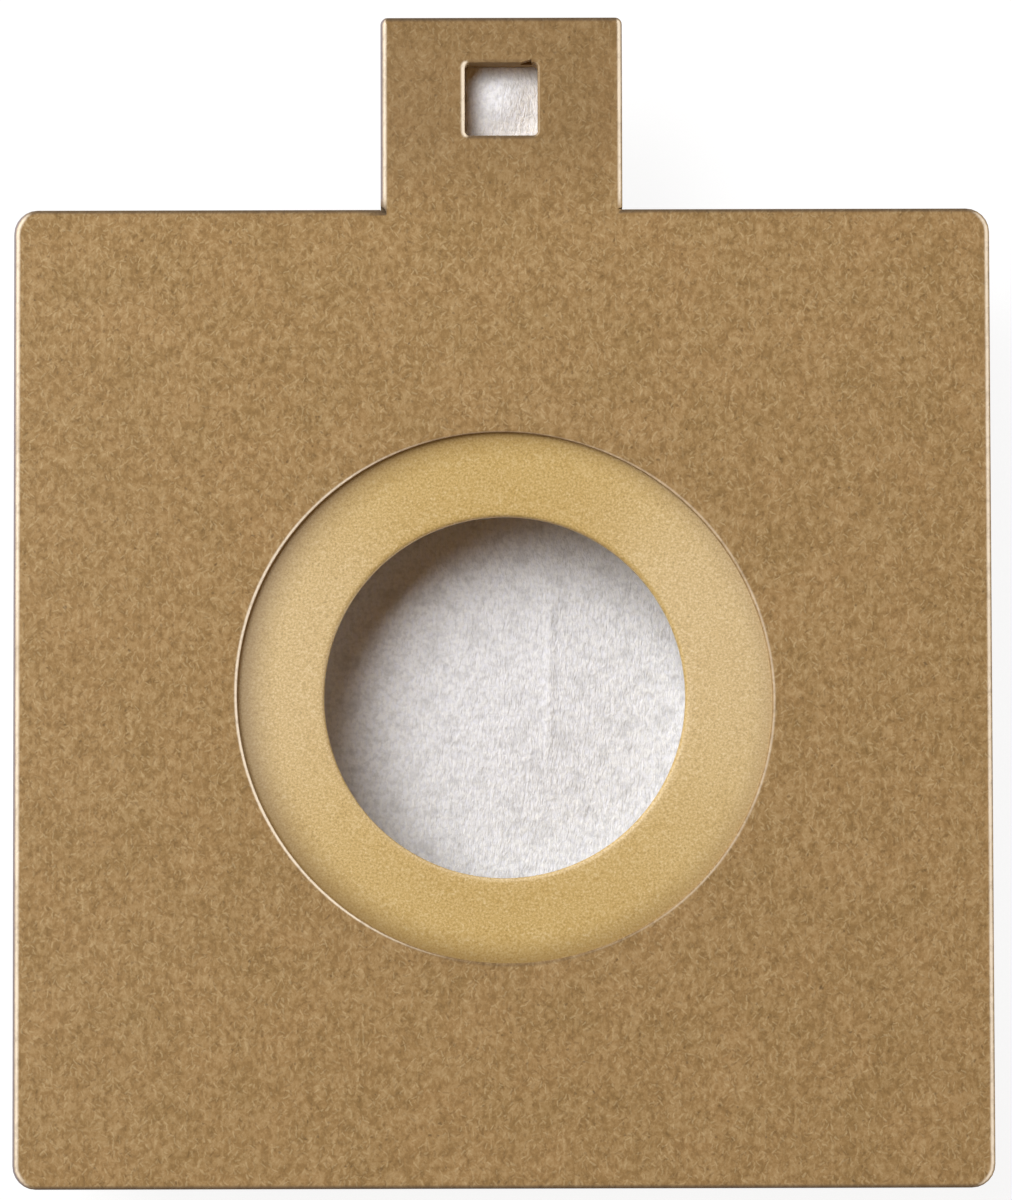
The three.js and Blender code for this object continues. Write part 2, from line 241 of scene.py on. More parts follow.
def fleck_layer(tree, place, cell, length, width, offset, spread, kept):
    """A mask of short curved strokes in mm, mostly upright, on a share kept of the cells."""
    bend = add_node(tree, "ShaderNodeTexNoise", {"Scale": 0.9 / cell, "Detail": 1.0},
                    {"Vector": place}, noise_dimensions="2D")
    centred = add_node(tree, "ShaderNodeVectorMath", {1: (0.5, 0.5, 0.5)},
                       {0: bend.outputs["Color"]}, operation="SUBTRACT")
    pushed = add_node(tree, "ShaderNodeVectorMath", {"Scale": 0.6 * cell},
                      {0: centred.outputs[0]}, operation="SCALE")
    bent = add_node(tree, "ShaderNodeVectorMath", links={0: place, 1: pushed.outputs[0]},
                    operation="ADD")
    moved = add_node(tree, "ShaderNodeVectorMath", {1: (offset, 1.7 * offset, 0)},
                     {0: bent.outputs[0]}, operation="ADD")
    cells = add_node(tree, "ShaderNodeTexVoronoi", {"Scale": 1 / cell},
                     {"Vector": moved.outputs[0]}, voronoi_dimensions="2D")
    local = add_node(tree, "ShaderNodeVectorMath",
                     links={0: moved.outputs[0], 1: cells.outputs["Position"]},
                     operation="SUBTRACT")
    chance = add_node(tree, "ShaderNodeSeparateColor", links={0: cells.outputs["Color"]})
    angle = add_node(tree, "ShaderNodeMapRange",
                     {"To Min": math.pi / 2 - spread, "To Max": math.pi / 2 + spread},
                     {"Value": chance.outputs[0]})
    turned = add_node(tree, "ShaderNodeVectorRotate",
                      links={"Vector": local.outputs[0], "Angle": angle.outputs[0]},
                      rotation_type="Z_AXIS")
    axes = add_node(tree, "ShaderNodeSeparateXYZ", links={0: turned.outputs[0]})
    across = add_node(tree, "ShaderNodeMath", links={0: axes.outputs[1]}, operation="ABSOLUTE")
    along = add_node(tree, "ShaderNodeMath", links={0: axes.outputs[0]}, operation="ABSOLUTE")
    thin = add_node(tree, "ShaderNodeMapRange",
                    {"From Min": 0.2 * width, "From Max": 0.8 * width, "To Min": 1, "To Max": 0},
                    {"Value": across.outputs[0]}, interpolation_type="SMOOTHSTEP")
    short = add_node(tree, "ShaderNodeMapRange",
                     {"From Min": 0.3 * length, "From Max": 0.55 * length,
                      "To Min": 1, "To Max": 0},
                     {"Value": along.outputs[0]}, interpolation_type="SMOOTHSTEP")
    there = add_node(tree, "ShaderNodeMapRange",
                     {"From Min": 1 - kept, "From Max": 1, "To Min": 0, "To Max": 1},
                     {"Value": chance.outputs[1]})
    stroke = add_node(tree, "ShaderNodeMath", links={0: thin.outputs[0], 1: short.outputs[0]},
                      operation="MULTIPLY")
    return add_node(tree, "ShaderNodeMath", links={0: stroke.outputs[0], 1: there.outputs[0]},
                    operation="MULTIPLY").outputs[0]


def tint(tree, under, colour, mask, amount):
    """Lays a colour over another through a mask, at most by amount."""
    part = add_node(tree, "ShaderNodeMath", {1: amount}, {0: mask}, operation="MULTIPLY")
    over = add_node(tree, "ShaderNodeMix", {7: linear(colour)}, {0: part.outputs[0], 6: under},
                    data_type="RGBA")
    return over.outputs[2]


# %% Kraft board material
PLY_HEIGHT = 0.32


def kraft_board():
    material, tree, shader = start_material("kraft_board_pressed", "#A4855A", 0.8, 1.46)
    place = in_millimetres(tree)
    patches = add_node(tree, "ShaderNodeTexNoise", {"Scale": 1 / 5.0, "Detail": 3.0,
                                                    "Roughness": 0.62}, {"Vector": place})
    hue = add_node(tree, "ShaderNodeMix", {6: linear("#937644"), 7: linear("#AB8756")},
                   {0: patches.outputs["Fac"]}, data_type="RGBA").outputs[2]
    upright = add_node(tree, "ShaderNodeMapping", {"Scale": (1.0, 0.75, 1.0)}, {"Vector": place})
    speckle = add_node(tree, "ShaderNodeTexNoise", {"Scale": 1 / 0.7, "Detail": 4.0,
                                                    "Roughness": 0.7},
                       {"Vector": upright.outputs[0]})
    dark_spots = add_node(tree, "ShaderNodeMapRange",
                          {"From Min": 0.52, "From Max": 0.3, "To Min": 0, "To Max": 1},
                          {"Value": speckle.outputs["Fac"]})
    pale_spots = add_node(tree, "ShaderNodeMapRange",
                          {"From Min": 0.48, "From Max": 0.72, "To Min": 0, "To Max": 1},
                          {"Value": speckle.outputs["Fac"]})
    colour = tint(tree, hue, "#6A5023", dark_spots.outputs[0], 0.5)
    colour = tint(tree, colour, "#C9AE80", pale_spots.outputs[0], 0.5)
    dark = fleck_layer(tree, place, 0.7, 0.75, 0.18, 3.1, 1.3, 0.8)
    pale = fleck_layer(tree, place, 0.62, 0.75, 0.16, 17.7, 1.2, 0.8)
    fine = fleck_layer(tree, place, 0.4, 0.45, 0.15, 41.3, 1.5, 0.8)
    specks = fleck_layer(tree, place, 1.5, 0.26, 0.22, 63.9, 1.5, 0.35)
    colour = tint(tree, colour, "#5A4119", dark, 0.3)
    colour = tint(tree, colour, "#DCC597", pale, 0.32)
    colour = tint(tree, colour, "#CCB081", fine, 0.28)
    colour = tint(tree, colour, "#3F2C12", specks, 0.45)
    height = add_node(tree, "ShaderNodeSeparateXYZ", links={0: place})
    # The tab grows a little darker from 2 mm below the plate's top edge to 8 mm above it.
    tab_darkening = add_node(tree, "ShaderNodeMapRange",
                       {"From Min": PLATE_TOP - 2, "From Max": PLATE_TOP + 8, "To Min": 0,
                        "To Max": 1}, {"Value": height.outputs[1]})
    colour = tint(tree, colour, "#6E5532", tab_darkening.outputs[0], 0.34)

    facing = add_node(tree, "ShaderNodeNewGeometry")
    lean = add_node(tree, "ShaderNodeSeparateXYZ", links={0: facing.outputs["Normal"]})
    level = add_node(tree, "ShaderNodeMath", links={0: lean.outputs[2]}, operation="ABSOLUTE")
    cut = add_node(tree, "ShaderNodeMapRange",
                   {"From Min": 0.5, "From Max": 0.2, "To Min": 0, "To Max": 1},
                   {"Value": level.outputs[0]})
    colour = tint(tree, colour, "#9C8057", cut.outputs[0], 1.0)
    plies = add_node(tree, "ShaderNodeMath", {1: 2 * math.pi / PLY_HEIGHT}, {0: height.outputs[2]},
                     operation="MULTIPLY")
    layers = add_node(tree, "ShaderNodeMath", links={0: plies.outputs[0]}, operation="SINE")
    banding = add_node(tree, "ShaderNodeMapRange",
                       {"From Min": -1, "From Max": 1, "To Min": 0.2, "To Max": 0.75},
                       {"Value": layers.outputs[0]})
    banded = add_node(tree, "ShaderNodeMath", links={0: cut.outputs[0], 1: banding.outputs[0]},
                      operation="MULTIPLY")
    colour = tint(tree, colour, "#B9A27A", banded.outputs[0], 0.8)
    # Painted dark shade on edges that face up or down, at the tab's foot and in the left nick.
    painted_dark_shade = add_node(tree, "ShaderNodeAttribute", attribute_name="painted_dark_shade")
    colour = tint(tree, colour, "#4A3D31", painted_dark_shade.outputs["Fac"], 0.75)
    # Painted grey shade on the outer part of left-facing edges.
    painted_grey_shade = add_node(tree, "ShaderNodeAttribute", attribute_name="painted_grey_shade")
    colour = tint(tree, colour, "#8D858A", painted_grey_shade.outputs["Fac"], 0.9)
    # Painted highlight: a cream line along each roll's crest, strongest where an edge faces left
    # or right.
    painted_highlight = add_node(tree, "ShaderNodeAttribute", attribute_name="painted_highlight")
    broken = add_node(tree, "ShaderNodeMapRange",
                      {"From Min": 0.3, "From Max": 0.5, "To Min": 0.65, "To Max": 1},
                      {"Value": speckle.outputs["Fac"]})
    line = add_node(tree, "ShaderNodeMath", links={0: painted_highlight.outputs["Fac"],
                                                   1: broken.outputs[0]}, operation="MULTIPLY")
    colour = tint(tree, colour, "#FFF1D8", line.outputs[0], 1.0)
    tree.links.new(colour, shader.inputs["Base Color"])

    relief = add_node(tree, "ShaderNodeMath", links={0: pale, 1: dark}, operation="SUBTRACT")
    on_face = add_node(tree, "ShaderNodeMapRange",
                       {"From Min": 0.2, "From Max": 0.5, "To Min": 0, "To Max": 1},
                       {"Value": level.outputs[0]})
    kept = add_node(tree, "ShaderNodeMath", links={0: relief.outputs[0], 1: on_face.outputs[0]},
                    operation="MULTIPLY")
    grain = add_node(tree, "ShaderNodeMath", links={0: kept.outputs[0],
                                                    1: speckle.outputs["Fac"]}, operation="ADD")
    bump = add_node(tree, "ShaderNodeBump", {"Strength": 0.35, "Distance": 0.04 * MM},
                    {"Height": grain.outputs[0]})
    tree.links.new(bump.outputs[0], shader.inputs["Normal"])
    return material


board_material = kraft_board()
print("kraft board:", len(board_material.node_tree.nodes), "nodes")

# %% [markdown]
# ## Front card
# The real card is punched from board by a steel die, which presses the cut edge over into a
# small roll. The outline could be traced as one long list of points, but it is simpler to draw
# its square corners, round them with a bevel and let the fill operator close the face round the
# two holes. The face is then inset ring by ring, and the rings sink towards the edge. On the
# real card the roll is wide on the left and right edges and thin on the others, so each ring's
# drop depends on where its edge faces. The punch left the cut-out a little oval.

# %% Collar outline
LONG_EDGE, LONG_EDGE_CUTS = 5, 14


def collar_corners():
    """The square corners of plate and tab, with each corner's radius."""
    side, tab = PLATE / 2, TAB_WIDTH / 2
    low, high, top = front_low.y, PLATE_TOP, TAB_TOP
    return [(-side, low, PLATE_CORNER), (side, low, PLATE_CORNER), (side, high, PLATE_CORNER),
            (tab, high, 0), (tab, top, TAB_CORNER), (-tab, top, TAB_CORNER),
            (-tab, high, 0), (-side, high, PLATE_CORNER)]


def hole_corners():
    half = HOLE_SIZE / 2
    return [(half * x, HOLE_Y + half * y, HOLE_CORNER)
            for x, y in ((-1, -1), (1, -1), (1, 1), (-1, 1))]


def rounded_loop(bm, corners, z):
    """A closed loop of edges through the corners, each rounded by its own radius."""
    made = [bm.verts.new((x, y, z)) for x, y, _ in corners]
    bm.faces.new(made)
    for radius in sorted({corner[2] for corner in corners} - {0}):
        chosen = [vert for vert, corner in zip(made, corners) if corner[2] == radius]
        bmesh.ops.bevel(bm, geom=chosen, offset=radius, segments=6, profile=0.5,
                        affect="VERTICES", material=-1)
    bmesh.ops.delete(bm, geom=bm.faces[:], context="FACES_ONLY")
    long_edges = [edge for edge in bm.edges if edge.calc_length() > LONG_EDGE and edge.is_wire]
    bmesh.ops.subdivide_edges(bm, edges=long_edges, cuts=LONG_EDGE_CUTS)


# %% Turning a bmesh into a finished piece
def make_piece(name, bm, material, node=None, sharp=40):
    """Makes the object, in metres, on the one body, and hides the CAD node that it replaces."""
    mesh = bpy.data.meshes.new(name)
    bm.to_mesh(mesh)
    bm.free()
    mesh.transform(Matrix.Scale(MM, 4))
    mesh.shade_smooth()
    mesh.set_sharp_from_angle(angle=math.radians(sharp))
    mesh.materials.append(material)
    piece = bpy.data.objects.new(name, mesh)
    bpy.context.scene.collection.objects.link(piece)
    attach(piece, "root")
    if node:
        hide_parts(node)
    print(name, len(mesh.polygons), "faces")
    return piece


# %% Rolled edges
RING_STEPS = (0.03, 0.04, 0.05, 0.05, 0.06, 0.07, 0.07, 0.08, 0.08, 0.09, 0.1)


def smooth_step(low, high, value):
    share = min(max((value - low) / (high - low), 0), 1)
    return share * share * (3 - 2 * share)


def roll_rings(bm, ring):
    """Insets the whole face ring by ring, and numbers the vertices of each ring."""
    faces = bm.faces[:]
    for number, step in enumerate(RING_STEPS, 1):
        bmesh.ops.inset_region(bm, faces=faces, thickness=step, depth=0, use_boundary=True,
                               use_even_offset=True)
        inner = set(faces)
        for face in faces:
            for edge in face.edges:
                if any(other not in inner for other in edge.link_faces):
                    for vert in edge.verts:
                        vert[ring] = number


# Each edge's roll: width and drop in mm, where its painted highlight line peaks as a share of
# the width, and how strong its painted highlight, its painted grey shade and its painted dark
# shade are.
OUTER_LEFT = (0.66, 0.3, 0.62, 1.25, 1.0, 0.0)
OUTER_RIGHT = (0.6, 0.14, 0.45, 1.4, 0.0, 0.0)
OUTER_LEVEL = (0.18, 0.07, 0.6, 0.0, 0.0, 1.0)
CUTOUT_LEFT = (0.44, 0.08, 0.26, 1.6, 0.0, 0.0)
CUTOUT_RIGHT = (0.4, 0.12, 0.5, 0.5, 0.0, 0.0)
CUTOUT_TOP = (0.3, 0.12, 0.0, 0.35, 0.0, 0.0)
CUTOUT_BOTTOM = (0.2, 0.1, 0.6, 0.0, 0.0, 0.45)
HOLE_LEFT = (0.72, 0.1, 0.2, 1.5, 0.0, 0.0)
HOLE_RIGHT = (0.26, 0.2, 0.5, 0.3, 0.0, 0.0)
HOLE_TOP = (0.1, 0.08, 0.5, 0.0, 0.0, 0.3)
HOLE_BOTTOM = (0.2, 0.1, 0.5, 0.0, 0.0, 0.8)
# How near, in mm, a place must be to belong to the tab's foot, the tab's hole or the cut-out.
FOOT_REACH, HOLE_REACH, CUTOUT_REACH = 0.8, 6, CUTOUT_RADIUS + 2


def edge_finish(place, out):
    """The finish of an edge that faces out, blended between its side and its level kinds."""
    sideways, upward = out.x, out.y
    side = OUTER_LEFT if sideways < 0 else OUTER_RIGHT
    level = OUTER_LEVEL
    foot = max(abs(abs(place.x) - TAB_WIDTH / 2), abs(place.y - PLATE_TOP))
    if foot < FOOT_REACH:
        return OUTER_LEVEL
    if max(abs(place.x), abs(place.y - HOLE_Y)) < HOLE_REACH:
        side = HOLE_LEFT if sideways > 0 else HOLE_RIGHT
        level = HOLE_BOTTOM if upward > 0 else HOLE_TOP
    elif (place.xy - Vector((PUNCH_X, AXIS_Y))).length < CUTOUT_REACH:
        side = CUTOUT_LEFT if sideways > 0 else CUTOUT_RIGHT
        level = CUTOUT_BOTTOM if upward > 0 else CUTOUT_TOP
    share = smooth_step(0.1, 0.85, abs(sideways))
    return [a * share + b * (1 - share) for a, b in zip(side, level)]


def sink_rings(bm, layers, top):
    """Lowers each ring along an elliptic roll and marks its painted highlight and painted shades.
    """
    inwards = [sum(RING_STEPS[:number]) for number in range(len(RING_STEPS) + 1)]
    drops = {}
    for vert in bm.verts:
        number = vert[layers["ring"]]
        step = -1 if number else 1
        nearest = [edge.other_vert(vert) for edge in vert.link_edges
                   if edge.other_vert(vert)[layers["ring"]] == number + step]
        if not nearest:
            continue
        out = ((nearest[0].co - vert.co) * -step).normalized()
        width, drop, peak, pale, grey, dark = edge_finish(vert.co, out)
        inward = inwards[number] / width
        drops[vert] = drop * (1 - math.sqrt(1 - (1 - min(inward, 1)) ** 2))
        rise = smooth_step(peak - 0.4, peak, inward) * (1 - smooth_step(peak, peak + 0.5, inward))
        uneven = 0.85 + 0.3 * noise.noise(vert.co / 3)
        # The painted highlight on the crest, the painted grey shade and the painted dark shade.
        vert[layers["painted_highlight"]] = min(max(pale * rise * uneven, 0), 1)
        vert[layers["painted_grey_shade"]] = grey * (1 - smooth_step(0.2, 0.5, inward))
        foot = math.dist((abs(vert.co.x), vert.co.y), (TAB_WIDTH / 2, PLATE_TOP))
        vert[layers["painted_dark_shade"]] = max(dark * (1 - smooth_step(0.12, 0.5, inwards[number])),
                                   1 - smooth_step(0.3, 0.8, foot))
    for vert, drop in drops.items():
        vert.co.z = top - drop


def close_below(bm, layers, bottom):
    """Draws every open edge down to the card's underside and fills it."""
    rim = [edge for edge in bm.edges if edge.is_boundary]
    drawn = bmesh.ops.extrude_edge_only(bm, edges=rim)["geom"]
    for vert in (item for item in drawn if isinstance(item, bmesh.types.BMVert)):
        vert.co.z = bottom
        vert[layers["painted_grey_shade"]] = vert[layers["painted_highlight"]] = vert[layers["painted_dark_shade"]] = 0
    under = [item for item in drawn if isinstance(item, bmesh.types.BMEdge)]
    bmesh.ops.triangle_fill(bm, edges=under, use_beauty=True, use_dissolve=False)
    bmesh.ops.recalc_face_normals(bm, faces=bm.faces[:])


# %% Front card
OVAL, OVAL_TURN = 0.2, math.radians(150)
bm = bmesh.new()
layers = {"ring": bm.verts.layers.int.new("ring"),
          "painted_grey_shade": bm.verts.layers.float.new("painted_grey_shade"),
          "painted_highlight": bm.verts.layers.float.new("painted_highlight"),
          "painted_dark_shade": bm.verts.layers.float.new("painted_dark_shade")}
rounded_loop(bm, collar_corners(), front_high.z)
rounded_loop(bm, hole_corners(), front_high.z)
bmesh.ops.create_circle(bm, cap_ends=False, segments=192, radius=CUTOUT_RADIUS,
                        matrix=Matrix.Translation((PUNCH_X, AXIS_Y, front_high.z)))
for vert in bm.verts:
    out = vert.co.xy - Vector((PUNCH_X, AXIS_Y))
    if abs(out.length - CUTOUT_RADIUS) < 0.1:
        oval = OVAL * math.cos(2 * (math.atan2(out.y, out.x) - OVAL_TURN))
        vert.co.x += oval * out.x / out.length
        vert.co.y += oval * out.y / out.length
bmesh.ops.triangle_fill(bm, edges=bm.edges[:], use_beauty=True, use_dissolve=False,
                        normal=(0, 0, 1))
roll_rings(bm, layers["ring"])
sink_rings(bm, layers, front_high.z)
close_below(bm, layers, front_low.z)
front_card = make_piece("board_front_card", bm, board_material,
                        "collar_front_card")

# %% [markdown]
# ## Nicks and tear
# Where the tab meets the plate, the die leaves a small nick on either side, and the punch tore
# the board at one corner of the tab's hole. They are small wedges, so each is cut out of the
# finished card with a boolean, and the wedge is thrown away. The left nick does not go through
# the card, and a dark shade is painted in and round it.

# %% Cutting wedges
NICK_DEPTH, NICK_SHADE_REACH = 0.7, 0.85


def cut_wedge(piece, corners, bottom=front_low.z - 1):
    """Cuts an upright wedge out of the piece, down to bottom. Its corners are (x, y) in mm."""
    wedge = bmesh.new()
    face = wedge.faces.new([wedge.verts.new((x, y, bottom)) for x, y in corners])
    grown = bmesh.ops.extrude_face_region(wedge, geom=[face])["geom"]
    tops = [item for item in grown if isinstance(item, bmesh.types.BMVert)]
    bmesh.ops.translate(wedge, verts=tops, vec=(0, 0, front_high.z + 1 - bottom))
    bmesh.ops.recalc_face_normals(wedge, faces=wedge.faces[:])
    mesh = bpy.data.meshes.new("wedge")
    wedge.to_mesh(mesh)
    wedge.free()
    mesh.transform(Matrix.Scale(MM, 4))
    cutter = bpy.data.objects.new("wedge", mesh)
    bpy.context.scene.collection.objects.link(cutter)
    cut = piece.modifiers.new("cut", "BOOLEAN")
    cut.operation = "DIFFERENCE"
    cut.solver = "EXACT"
    cut.object = cutter
    with bpy.context.temp_override(object=piece, active_object=piece):
        bpy.ops.object.modifier_apply(modifier=cut.name)
    bpy.data.objects.remove(cutter)
    bpy.data.meshes.remove(mesh)


edge = TAB_WIDTH / 2
cut_wedge(front_card, [(-edge - 0.1, PLATE_TOP + 0.05), (-edge + 0.15, PLATE_TOP - 0.25),
                       (-edge + 0.62, PLATE_TOP - 0.42), (-edge + 0.4, PLATE_TOP + 0.1),
                       (-edge - 0.1, PLATE_TOP + 0.5)], bottom=front_high.z - NICK_DEPTH)
cut_wedge(front_card, [(edge + 0.2, PLATE_TOP + 0.28), (edge - 0.5, PLATE_TOP + 0.04),
                       (edge + 0.2, PLATE_TOP - 0.02)])
top = HOLE_Y + HOLE_SIZE / 2
cut_wedge(front_card, [(1.4, top - 0.3), (3.2, top - 0.3), (3.1, top + 0.36), (2.3, top + 0.16)])
card_mesh = front_card.data
# Painted shade: the points round the left nick take the full dark shade and no highlight or grey
# shade.
nick = [vert.index for vert in card_mesh.vertices
        if math.dist(vert.co.xy / MM, (-edge, PLATE_TOP)) < NICK_SHADE_REACH]
for index in nick:
    card_mesh.attributes["painted_highlight"].data[index].value = 0
    card_mesh.attributes["painted_grey_shade"].data[index].value = 0
    card_mesh.attributes["painted_dark_shade"].data[index].value = 1
print("front card after its cuts:", len(card_mesh.polygons), "faces,", len(nick), "shaded points")

# %% [markdown]
# ## Rear card
# The rear card has the right shape already, with the stepped seat that holds the seal, so its
# CAD node stays and only takes the board's material.

# %% Rear card
rear_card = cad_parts["collar_rear_card"]
rear_card.material_slots[0].material = board_material

# %% [markdown]
# ## Seal rubber
# The seal is a soft tan rubber, moulded with a fine satin grain. It was turned or pressed in a
# round tool, which leaves faint circular lines, and these give the two brighter fans of light at
# its left and right. The lines run round a point a little above the inlet's axis, which lifts
# the fans above the middle. The grain is about 0.1 mm on the real part and is drawn a little
# coarser, at 0.22 mm, so that it shows. A painted shade along the card's edge darkens the last
# three millimetres of the rubber, strongest on the left.

# %% Seal rubber material
CARD_SHADE_WIDTH = 3.2
CARD_SHADE_CENTRE = (PUNCH_X + 0.9, AXIS_Y + 0.1, 0)
LINES_CENTRE = (PUNCH_X, AXIS_Y + 6.0, 0)


def flat_vector(tree, place, centre):
    """The way on the plan from a centre to a place."""
    away = add_node(tree, "ShaderNodeVectorMath", {1: centre}, {0: place}, operation="SUBTRACT")
    return add_node(tree, "ShaderNodeVectorMath", {1: (1, 1, 0)}, {0: away.outputs[0]},
                    operation="MULTIPLY").outputs[0]


def seal_rubber():
    material, tree, shader = start_material("seal_rubber_moulded", "#D6B67A", 0.5, 1.55)
    shader.inputs["Specular IOR Level"].default_value = 0.95
    shader.inputs["Anisotropic"].default_value = 0.85
    shader.inputs["Anisotropic Rotation"].default_value = 0.135
    place = in_millimetres(tree)
    grain = add_node(tree, "ShaderNodeTexNoise", {"Scale": 1 / 0.22, "Detail": 3.0,
                                                  "Roughness": 0.7}, {"Vector": place})
    clouds = add_node(tree, "ShaderNodeTexNoise", {"Scale": 1 / 7.0, "Detail": 1.0},
                      {"Vector": place})
    colour = add_node(tree, "ShaderNodeMix", {6: linear("#CEAE6A"), 7: linear("#D7B976")},
                      {0: clouds.outputs["Fac"]}, data_type="RGBA").outputs[2]
    low = add_node(tree, "ShaderNodeMapRange",
                   {"From Min": 0.5, "From Max": 0.25, "To Min": 0, "To Max": 1},
                   {"Value": grain.outputs["Fac"]})
    high = add_node(tree, "ShaderNodeMapRange",
                    {"From Min": 0.5, "From Max": 0.75, "To Min": 0, "To Max": 1},
                    {"Value": grain.outputs["Fac"]})
    colour = tint(tree, colour, "#98762F", low.outputs[0], 0.8)
    colour = tint(tree, colour, "#F2E0B4", high.outputs[0], 0.8)
    # Painted shade: the rubber darkens over its last 3.2 mm towards the card's edge, strongest on
    # the left.
    radius = add_node(tree, "ShaderNodeVectorMath", operation="LENGTH",
                      links={0: flat_vector(tree, place, CARD_SHADE_CENTRE)})
    near_card = add_node(tree, "ShaderNodeMapRange",
                         {"From Min": CUTOUT_RADIUS - CARD_SHADE_WIDTH, "From Max": CUTOUT_RADIUS,
                          "To Min": 0, "To Max": 1}, {"Value": radius.outputs["Value"]})
    card_shade = add_node(tree, "ShaderNodeMath", {1: 1.6}, {0: near_card.outputs[0]},
                     operation="POWER")
    colour = tint(tree, colour, "#7D5E2B", card_shade.outputs[0], 0.62)
    tree.links.new(colour, shader.inputs["Base Color"])
    bump = add_node(tree, "ShaderNodeBump", {"Strength": 0.4, "Distance": 0.02 * MM},
                    {"Height": grain.outputs["Fac"]})
    tree.links.new(bump.outputs[0], shader.inputs["Normal"])
    around = add_node(tree, "ShaderNodeVectorRotate", {"Angle": math.pi / 2},
                      {"Vector": flat_vector(tree, place, LINES_CENTRE)}, rotation_type="Z_AXIS")
    lines = add_node(tree, "ShaderNodeVectorMath", links={0: around.outputs[0]},
                     operation="NORMALIZE")
    tree.links.new(lines.outputs[0], shader.inputs["Tangent"])
    return material


seal_material = seal_rubber()

# %% [markdown]
# ## Seal ring
# A ring like this could be a thick disc with a hole, but the real one is gripped between the two
# cards, swells against the front card's edge, and falls a little towards its bore, where its edge
# is rounded. So its section is drawn once and spun round the inlet's axis.

# %% Seal ring
SEAL_RADIUS, RIM_RADIUS = 32.5, 27.5
RIM_RISE, BORE_RISE = 0.95, 0.55
bm = bmesh.new()
section = [(SEAL_RADIUS, seal_low.z), (SEAL_RADIUS, seal_high.z), (30.0, seal_high.z),
           (RIM_RADIUS + 0.12, seal_high.z)]
for step in range(13):
    share = step / 12
    section.append((RIM_RADIUS - share * (RIM_RADIUS - BORE_RADIUS - 0.5),
                    seal_high.z + RIM_RISE + (BORE_RISE - RIM_RISE) * share))
lip = section[-1][1] - 0.02
section += [(BORE_RADIUS + 0.2, lip - 0.03), (BORE_RADIUS + 0.06, lip - 0.14),
            (BORE_RADIUS, lip - 0.34), (BORE_RADIUS, seal_low.z + 0.28),
            (BORE_RADIUS + 0.08, seal_low.z + 0.09), (BORE_RADIUS + 0.3, seal_low.z)]
corners = [bm.verts.new((radius, AXIS_Y, height)) for radius, height in section]
edges = [bm.edges.new((corner, corners[i - 1])) for i, corner in enumerate(corners)]
bmesh.ops.spin(bm, geom=corners + edges, cent=(0, AXIS_Y, 0), axis=(0, 0, 1),
               angle=2 * math.pi, steps=192, use_merge=True)
bmesh.ops.translate(bm, verts=bm.verts[:], vec=(PUNCH_X, 0, 0))
bmesh.ops.recalc_face_normals(bm, faces=bm.faces[:])
make_piece("rubber_seal_ring", bm, seal_material, "seal_ring")

# %% [markdown]
# ## Fleece
# The bag is a non-woven filter fleece: fine white fibres blown onto a belt and bonded by heat,
# most of them along the belt. It has no weave. What the eye sees is a felt of pale streaks with
# greyer hollows between them. The streaks run along the cloth, so the pattern reads the cloth's
# own place, across and along in millimetres, which each sheet carries as an attribute. Real
# fibres are 0.02 mm thick and show only where they gather, so the streaks are drawn 0.3 mm wide.

# %% Fleece material
STREAK_WIDTH, STREAK_LENGTH = 0.34, 0.8


def fibre_streaks(tree, cloth, lean):
    """A mask of soft streaks along the cloth, leaning by an angle."""
    turned = add_node(tree, "ShaderNodeMapping",
                      {"Rotation": (0, 0, lean),
                       "Scale": (1 / STREAK_WIDTH, 1 / STREAK_LENGTH, 1)},
                      {"Vector": cloth})
    streaks = add_node(tree, "ShaderNodeTexNoise", {"Scale": 1.0, "Detail": 2.0,
                                                    "Roughness": 0.6, "Distortion": 0.4},
                       {"Vector": turned.outputs[0]}, noise_dimensions="2D")
    return add_node(tree, "ShaderNodeMapRange",
                    {"From Min": 0.35, "From Max": 0.68, "To Min": 0, "To Max": 1},
                    {"Value": streaks.outputs["Fac"]}, interpolation_type="SMOOTHSTEP").outputs[0]


